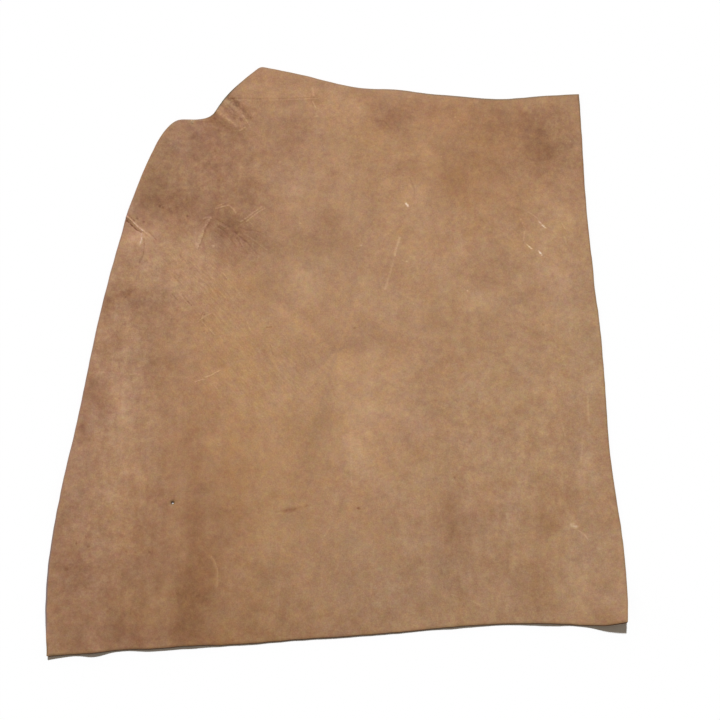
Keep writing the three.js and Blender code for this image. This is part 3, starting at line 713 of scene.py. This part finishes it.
# Where the tan is yellower, or where it is bluer, below zero.
yellow_clouds = [
    (-170, -40, 55, 160, 0, 0.9),
    (-110, -200, 70, 210, 12, 1.2),
    (-60, 10, 120, 120, 0, 0.5),
    (-190, -380, 60, 60, 0, 0.8),
    (200, 330, 110, 130, 0, 1.1),
    (170, 400, 200, 22, 0, 0.7),
    (20, 335, 30, 35, 0, 1.1),
    (-100, 430, 50, 30, 0, 0.9),
    (-230, 340, 55, 45, 0, -1.4),
    (-190, 170, 110, 35, -18, -1),
    (-95, 205, 30, 35, 0, -0.5),
    (-290, 10, 22, 120, -7, -1),
    (-350, 30, 40, 180, -8, -0.5),
    (-400, -240, 35, 210, -4, -1.2),
    (370, -80, 55, 300, 2, -0.9),
    (210, -220, 60, 50, 0, -0.6),
    (140, -360, 160, 70, 0, -0.8),
    (390, -350, 35, 80, 0, -0.7),
    (-35, -130, 14, 60, -15, 0.6),
    (80, 362, 290, 36, -2, 0.7),
    (55, 325, 30, 50, 0, 0.7),
    (205, 300, 140, 48, -6, 0.85),
    (280, 225, 130, 55, -6, 0.75),
    (20, 240, 60, 28, 0, 0.4),
    (335, 180, 45, 45, 0, 0.6),
    (120, 170, 30, 30, 0, 0.6),
    (-240, 182, 26, 18, 0, 0.6),
    (-150, 120, 40, 28, 0, 0.5),
    (-180, 30, 26, 55, 0, 0.5),
    (165, 70, 42, 70, 15, 0.45),
    (350, 10, 36, 80, 0, 0.55),
    (-372, -95, 32, 55, 0, -0.75),
    (-10, -100, 34, 50, 0, 0.5),
    (125, -120, 30, 28, 0, -1.1),
    (-218, -195, 36, 65, 0, 0.5),
    (190, -255, 80, 36, 0, -0.55),
    (160, -315, 80, 26, 0, -0.6),
    (-350, -310, 48, 45, 0, -0.9),
    (-30, -310, 40, 45, 0, -0.7),
    (-365, -385, 50, 50, 0, -1.1),
    (50, -375, 190, 28, 4, -0.4),
    (215, -362, 40, 26, 0, -0.5),
    (-305, -425, 90, 22, 4, -1.2),
    (-15, -416, 50, 18, 4, -1),
    (-95, 420, 70, 24, -10, 1),
    (-139, 380, 14, 10, 0, 0.9),
    (-168, 378, 12, 12, 40, -1.2),
    (80, 270, 330, 130, -8, 0.32),
    (-125, -60, 80, 200, 5, 0.28),
    (352, 100, 30, 50, 0, -0.65),
    (-325, -70, 55, 30, 0, -0.45),
    (200, -140, 50, 36, 0, -0.4),
    (-300, -180, 20, 30, 0, -0.5),
    (100, -345, 300, 60, 4, -0.35),
    (350, -360, 36, 30, 0, -0.6),
    (-330, -365, 80, 40, 0, -0.35),
    (360, 365, 28, 30, 0, 0.8),
    (240, 365, 30, 26, 0, 0.6),
    (-180, 365, 26, 28, 0, 0.6),
    (-120, 300, 24, 28, 0, 0.6),
    (60, 300, 28, 28, 0, 0.6),
    (-60, -320, 28, 50, 0, -0.45),
    (-240, -350, 26, 40, 0, -0.45),
    (-360, -150, 26, 60, 0, -0.3),
    (0, -418, 28, 20, 0, -0.45),
]
# Where fine wrinkles, with their painted light and shade, run in one direction, and where the tan is more
# mottled than elsewhere.
wrinkled_clouds = [
    (-235, 130, 70, 50, -30, 0.8),
    (-190, 80, 40, 50, 0, 0.6),
    (-80, -40, 60, 45, -20, 0.6),
    (-150, 185, 40, 30, 0, 0.7),
    (-180, -40, 60, 100, 0, 0.4),
    (-110, -60, 130, 180, 0, 0.2),
    (100, 60, 200, 100, 0, 0.25),
]
mottled_clouds = [
    (260, -140, 150, 300, 0, 0.15),
    (-360, -250, 80, 250, 0, 0.35),
    (-220, 270, 110, 130, 0, 0.6),
    (-320, 50, 60, 100, 0, 0.6),
    (80, 340, 300, 90, 0, 0.2),
    (330, 340, 60, 70, 0, 0.4),
    (-110, -80, 120, 180, 0, -0.25),
]
# Where the tan is streaked along the length of the hide.
streaked_clouds = [
    (-300, -200, 130, 260, 0, 1),
    (230, -270, 200, 200, 0, 0.8),
    (340, 50, 80, 160, 0, 0.6),
]
CLOUD_WANDER = 0.010
CLOUD_FALL = 0.9


def drift(x, y, seed):
    """Smooth wandering, with a slow and a quick part."""
    return swell(x, y, 0.035, seed) + 0.5 * swell(x, y, 0.014, seed + 1)


wandering = np.array([(drift(x, y, 21), drift(x, y, 23)) for x, y, z in corners])
wandered = corners[:, :2] + CLOUD_WANDER * wandering


def lay_clouds(clouds):
    """The sum of the clouds at each corner. Their outlines wander, so that none is a plain oval."""
    total = np.zeros(len(wandered))
    for *oval, turn, strength in clouds:
        middle_x, middle_y, half_width, half_height = np.array(oval) / MILLIMETRES
        across, up = (wandered - (middle_x, middle_y)).T
        cos = math.cos(math.radians(turn))
        sin = math.sin(math.radians(turn))
        span = np.hypot((across * cos + up * sin) / half_width, (up * cos - across * sin) / half_height)
        total += strength * np.exp(-CLOUD_FALL * span ** 2)
    return total


# The tone of a crease is uneven. On raised wrinkles the painted light and shade break up into dots, and flat
# scuffs hardly do.
UNEVEN_TONE = 0.5
RAISED_DOTS = 1.5
FLAT_DOTS = 0.3
DOT_SPACING = 0.0024
crease_marks_and_painted_shade = np.zeros(len(corners))
for rise, spread, tones, found, slope, share, on_left in near_creases(corners[:, :2]):
    dots = FLAT_DOTS if rise == (0, 0) else RAISED_DOTS
    unevenness = np.array([
        1 + UNEVEN_TONE * swell(x, y, UNEVEN_SPACING, 19) + dots * swell(x, y, DOT_SPACING, 20)
        for x, y, z in corners[found]
    ])
    crease_marks_and_painted_shade[found] += np.where(on_left, *tones) * slope * np.maximum(unevenness, 0)

# The rim is dark where the knife cut, partly the leather's own darker cut rim and partly painted shade
# along the edge, and grey, below zero, along the belly, where it didn't. The painted shade makes it
# darkest in the notch, along the spine half of the neck and where the belly edge nears the rear.
BELLY_FROM = -0.27
BELLY_FADE = 0.06
REAR_TO = -0.44
REAR_FADE = 0.03
RIM_FROM = 0.25
RIM_FADE = 0.45
RIM_TONE = 0.30
past_belly_line = np.clip((BELLY_FROM - corners[:, 0]) / BELLY_FADE, 0, 1)
belly = past_belly_line * np.clip((corners[:, 1] - REAR_TO) / REAR_FADE, 0, 1)
cut_rim_and_edge_shade = np.clip((rim - RIM_FROM) / RIM_FADE, 0, 1) * (RIM_TONE + lay_clouds([
    (-175, 400, 28, 28, 0, 0.68),
    (240, 405, 190, 30, 0, 0.42),
    (0, -430, 500, 50, 3, -0.25),
    (-430, -380, 30, 110, 0, 0.6),
]))

for name, values in {
    "tone": lay_clouds(tone_clouds) + crease_marks_and_painted_shade,
    "red": lay_clouds(red_clouds),
    "yellow": lay_clouds(yellow_clouds),
    "wrinkled": lay_clouds(wrinkled_clouds),
    "mottled": lay_clouds(mottled_clouds),
    "streaked": lay_clouds(streaked_clouds),
    "rim": cut_rim_and_edge_shade * (1 - 2 * belly),
    "depth": on_grain,
}.items():
    hide.data.attributes.new(name, "FLOAT", "POINT").data.foreach_set("value", values)

# The natural grain: undyed tan, clouded and mottled, with fine pores and wrinkles, and painted light and
# shade along its folds and wrinkles. The steps of tone run from the darkest stains and painted shadows to
# grain that is scuffed pale.
TONES = [
    (-3.0, (0.151, 0.057, 0.019)),
    (-2.0, (0.217, 0.094, 0.038)),
    (-1.0, (0.290, 0.144, 0.067)),
    (0.0, (0.373, 0.203, 0.103)),
    (1.0, (0.469, 0.275, 0.145)),
    (2.0, (0.570, 0.366, 0.228)),
    (4.0, (0.753, 0.593, 0.453)),
]
DARKEST = TONES[0][0]
LIGHTEST = TONES[-1][0]
WRINKLE_RUN = math.radians(-48)

# By how many steps each kind of unevenness changes the tone, from the broadest to the finest.
BROAD = 1.5
WISPS = 1.4
MOTTLES = 1.7
BLOTCHES = 1.4
SPECKLES = 2.2
WRINKLE_LIGHT_AND_SHADE = 1.8
STREAKS = 1.25
VEINS = 0.25
MIDDLE_OF_VEINS = 0.45
PLAIN_MOTTLING = 0.93

# How far the hue strays, and what a step of it does to the red, green and blue of the colour.
WARM_AND_COOL = 5.0
YELLOW_OF_WARM = 1.2
RED_SPECKS = 9.5
YELLOW_SPECKS = 13.0
SHARED_SPECKS = 3.0
REDDER = (0.028, -0.019, 0.0)
YELLOWER = (0.0, 0.019, -0.050)
# The dark of the cut rim, which also stands for painted shade along the edge.
CUT_RIM_AND_EDGE_SHADE = (0.080, 0.062, 0.024, 1)
BELLY_RIM = (0.160, 0.125, 0.130, 1)


def start_finish(name):
    """The cleared node tree of one finish of the hide, and the place on the hide."""
    finish = bpy.data.materials[name]
    finish.use_nodes = True
    finish.node_tree.nodes.clear()
    return finish.node_tree, add_node(finish.node_tree, "ShaderNodeTexCoord").outputs["Object"]


def add_ramp(tree, value, steps):
    """The colour for a value from 0 to 1, from steps of a value and its colour."""
    ramp = add_node(tree, "ShaderNodeValToRGB", None, {"Fac": value})
    stops = ramp.color_ramp.elements
    while len(stops) < len(steps):
        stops.new(1.0)
    for stop, (position, colour) in zip(stops, steps):
        stop.position = position
        stop.color = (*colour, 1.0)
    return ramp.outputs["Color"]


def add_surface(tree, relief, strength, depth, inputs):
    """The surface of a finish, with its relief in metres, as the output of its material."""
    bump = add_node(tree, "ShaderNodeBump", None, {
        "Strength": strength, "Distance": depth, "Height": relief,
    })
    shader = add_node(tree, "ShaderNodeBsdfPrincipled", None, {**inputs, "Normal": bump.outputs[0]})
    out = add_node(tree, "ShaderNodeOutputMaterial")
    tree.links.new(shader.outputs[0], out.inputs["Surface"])


def add_noise(tree, place, scale, detail, roughness=0.55):
    """Noise about zero, with the given number of features to a metre."""
    inputs = {"Vector": place, "Scale": scale, "Detail": detail, "Roughness": roughness}
    noise_made = add_node(tree, "ShaderNodeTexNoise", None, inputs).outputs["Fac"]
    return add_math(tree, "SUBTRACT", noise_made, 0.5)


def add_value(tree, name):
    """A value that is painted on the corners of the mesh."""
    return add_node(tree, "ShaderNodeAttribute", {"attribute_name": name}).outputs["Fac"]


def add_tint(tree, colour, amount, change):
    """The colour with its channels changed by the given shares, for each step of the amount."""
    shift = add_node(tree, "ShaderNodeVectorMath", {"operation": "SCALE"}, {0: change, "Scale": amount})
    factor = add_node(tree, "ShaderNodeVectorMath", {"operation": "ADD"}, {
        0: shift.outputs[0], 1: (1, 1, 1),
    })
    settings = {"operation": "MULTIPLY"}
    return add_node(tree, "ShaderNodeVectorMath", settings, {0: colour, 1: factor.outputs[0]}).outputs[0]


tree, place = start_finish("leather_grain")

# Fine wrinkles are noise that is stretched along their run. They are raised in the relief, and their light
# and shade is also painted into the tone.
along_wrinkles = add_node(tree, "ShaderNodeMapping", {"vector_type": "TEXTURE"}, {
    "Vector": place, "Rotation": (0, 0, WRINKLE_RUN), "Scale": (0.014, 0.0030, 0.01),
}).outputs["Vector"]
wrinkles = add_math(tree, "MULTIPLY", add_noise(tree, along_wrinkles, 1.0, 2.0), add_value(tree, "wrinkled"))

# Streaks run with the length of the hide, and paler veins branch through the tan.
along_hide = add_node(tree, "ShaderNodeMapping", {"vector_type": "TEXTURE"}, {
    "Vector": place, "Scale": (0.010, 0.050, 0.01),
}).outputs["Vector"]
streaks = add_math(tree, "MULTIPLY", add_noise(tree, along_hide, 1.0, 3.0), add_value(tree, "streaked"))
veins = add_node(tree, "ShaderNodeTexNoise", {"noise_type": "RIDGED_MULTIFRACTAL"}, {
    "Vector": place, "Scale": 24.0, "Detail": 3.0, "Distortion": 0.4,
}).outputs["Fac"]

broad = add_noise(tree, place, 13.0, 2.0)
wisp = add_node(tree, "ShaderNodeTexNoise", None, {
    "Vector": place, "Scale": 30.0, "Detail": 3.0, "Roughness": 0.6, "Distortion": 0.6,
}).outputs["Fac"]
mottle = add_noise(tree, place, 70.0, 3.0, 0.6)
blotch = add_noise(tree, place, 190.0, 2.0, 0.6)
speckle = add_noise(tree, place, 520.0, 2.0, 0.7)
how_mottled = add_math(tree, "ADD", add_value(tree, "mottled"), PLAIN_MOTTLING)
mottling = add_math(tree, "MULTIPLY_ADD", mottle, MOTTLES, add_math(tree, "MULTIPLY", blotch, BLOTCHES))
mottling = add_math(tree, "MULTIPLY_ADD", add_math(tree, "SUBTRACT", wisp, 0.5), WISPS, mottling)
mottling = add_math(tree, "MULTIPLY", mottling, how_mottled)
tone = add_math(tree, "MULTIPLY_ADD", broad, BROAD, add_value(tree, "tone"))
tone = add_math(tree, "ADD", tone, mottling)
tone = add_math(tree, "MULTIPLY_ADD", speckle, SPECKLES, tone)
# The fine wrinkles' light and dark lines, painted into the tone as light and shade.
tone = add_math(tree, "MULTIPLY_ADD", wrinkles, WRINKLE_LIGHT_AND_SHADE, tone)
tone = add_math(tree, "MULTIPLY_ADD", streaks, STREAKS, tone)
tone = add_math(tree, "MULTIPLY_ADD", add_math(tree, "SUBTRACT", veins, MIDDLE_OF_VEINS), VEINS, tone)
ramp_place = add_node(tree, "ShaderNodeMapRange", None, {
    "Value": tone, "From Min": DARKEST, "From Max": LIGHTEST,
}).outputs["Result"]
toned = add_ramp(tree, ramp_place, [
    ((step - DARKEST) / (LIGHTEST - DARKEST), colour) for step, colour in TONES
])

hue_noise = [add_noise(tree, place, scale, 4.0, 0.75) for scale in (105.0, 140.0, 17.0)]
warmth = add_math(tree, "MULTIPLY", hue_noise[2], WARM_AND_COOL)
redness = add_math(tree, "ADD", warmth, add_value(tree, "red"))
redness = add_math(tree, "MULTIPLY_ADD", hue_noise[0], RED_SPECKS, redness)
yellowness = add_math(tree, "MULTIPLY_ADD", warmth, YELLOW_OF_WARM, add_value(tree, "yellow"))
yellowness = add_math(tree, "MULTIPLY_ADD", hue_noise[1], YELLOW_SPECKS, yellowness)
yellowness = add_math(tree, "MULTIPLY_ADD", hue_noise[0], SHARED_SPECKS, yellowness)
colour = add_tint(tree, toned, redness, REDDER)
colour = add_tint(tree, colour, yellowness, YELLOWER)
# The dark cut rim, which carries painted shade along the edge, and the grey belly rim.
rim_with_shade_now = add_value(tree, "rim")
colour = add_mix(tree, add_math(tree, "MULTIPLY", rim_with_shade_now, 1.0, clamp=True), colour, CUT_RIM_AND_EDGE_SHADE)
colour = add_mix(tree, add_math(tree, "MULTIPLY", rim_with_shade_now, -1.0, clamp=True), colour, BELLY_RIM)

pore_cells = add_node(tree, "ShaderNodeTexVoronoi", {"feature": "DISTANCE_TO_EDGE"}, {
    "Vector": place, "Scale": 1300.0,
}).outputs["Distance"]
relief = add_math(tree, "MULTIPLY_ADD", wrinkles, 2.0, pore_cells)
relief = add_math(tree, "MULTIPLY_ADD", speckle, 0.8, relief)
sheen = add_math(tree, "MULTIPLY_ADD", mottle, 0.25, 0.62)
PORE_DEPTH = 0.0004
add_surface(tree, relief, 0.35, PORE_DEPTH, {
    "Base Color": colour, "Roughness": sheen, "Specular IOR Level": 0.3,
})

# Loose fibres of the split leather, felted in every direction, in clumps. The flesh side and the cut
# edge show the same fibres.
fibres = bpy.data.node_groups.new("leather_fibres", "ShaderNodeTree")
fibres.interface.new_socket("Place", in_out="INPUT", socket_type="NodeSocketVector")
fibres.interface.new_socket("Nap", in_out="OUTPUT", socket_type="NodeSocketFloat")
fibres.interface.new_socket("Clumps", in_out="OUTPUT", socket_type="NodeSocketFloat")
fibres_in = fibres.nodes.new("NodeGroupInput")
fibres_out = fibres.nodes.new("NodeGroupOutput")
fibre_place = fibres_in.outputs["Place"]
felted = None
for turn in (20, 75, 140):
    strands = add_node(fibres, "ShaderNodeMapping", {"vector_type": "TEXTURE"}, {
        "Vector": fibre_place, "Rotation": (0, 0, math.radians(turn)), "Scale": (0.0011, 0.0075, 0.0015),
    })
    strand = add_node(fibres, "ShaderNodeTexNoise", None, {
        "Vector": strands.outputs["Vector"], "Scale": 1.0, "Detail": 2.0, "Distortion": 0.5,
    }).outputs["Fac"]
    felted = strand if felted is None else add_math(fibres, "MAXIMUM", felted, strand)
clumps = add_node(fibres, "ShaderNodeTexNoise", None, {
    "Vector": fibre_place, "Scale": 120.0, "Detail": 5.0, "Roughness": 0.7, "Distortion": 0.8,
}).outputs["Fac"]
fibres.links.new(felted, fibres_out.inputs["Nap"])
fibres.links.new(clumps, fibres_out.inputs["Clumps"])

# The flesh side: a pale suede nap, cloudy where the splitting knife passed, with faint veins.
SUEDE_DARK = (0.340, 0.205, 0.112, 1)
SUEDE_PALE = (0.560, 0.385, 0.240, 1)
NAP_DEPTH = 0.0007
tree, place = start_finish("leather_flesh")
nap = add_node(tree, "ShaderNodeGroup", {"node_tree": fibres}, {"Place": place}).outputs
veins = add_node(tree, "ShaderNodeTexNoise", {"noise_type": "RIDGED_MULTIFRACTAL"}, {
    "Vector": place, "Scale": 7.0, "Detail": 2.0, "Distortion": 0.6,
}).outputs["Fac"]
vein = add_math(tree, "POWER", add_math(tree, "MULTIPLY", veins, 0.8, clamp=True), 6.0)
cloudy = add_math(tree, "MULTIPLY_ADD", add_noise(tree, place, 9.0, 4.0), 1.2, 0.5)
cloudy = add_math(tree, "MULTIPLY_ADD", add_math(tree, "SUBTRACT", nap["Clumps"], 0.5), 1.3, cloudy)
cloudy = add_math(tree, "MULTIPLY_ADD", add_math(tree, "SUBTRACT", nap["Nap"], 0.6), 1.6, cloudy)
cloudy = add_math(tree, "MULTIPLY_ADD", vein, -0.35, cloudy, clamp=True)
colour = add_mix(tree, cloudy, SUEDE_DARK, SUEDE_PALE)
relief = add_math(tree, "MULTIPLY_ADD", nap["Clumps"], 0.8, nap["Nap"])
add_surface(tree, relief, 0.6, NAP_DEPTH, {
    "Base Color": colour, "Roughness": 0.95, "Specular IOR Level": 0.15,
})

# The cut edge: dark at the tight grain layer, paler and looser towards the flesh side.
LAYERS = [
    (0.0, (0.170, 0.092, 0.050)),
    (0.45, (0.210, 0.118, 0.066)),
    (0.80, (0.120, 0.056, 0.032)),
    (1.0, (0.075, 0.034, 0.020)),
]
EDGE_FIBRE_DEPTH = 0.0005
tree, place = start_finish("leather_cut_edge")
nap = add_node(tree, "ShaderNodeGroup", {"node_tree": fibres}, {"Place": place}).outputs
loose = add_math(tree, "SUBTRACT", nap["Nap"], 0.6)
layer = add_math(tree, "MULTIPLY_ADD", loose, 0.9, add_value(tree, "depth"))
layer = add_math(tree, "MULTIPLY_ADD", add_math(tree, "SUBTRACT", nap["Clumps"], 0.5), 0.7, layer)
add_surface(tree, nap["Nap"], 0.5, EDGE_FIBRE_DEPTH, {
    "Base Color": add_ramp(tree, layer, LAYERS), "Roughness": 0.88, "Specular IOR Level": 0.2,
})

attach(hide, "root")
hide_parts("hide")


# ---- The finished scene ---------------------------------------------------------------------------

bpy.context.scene.view_settings.view_transform = "Standard"
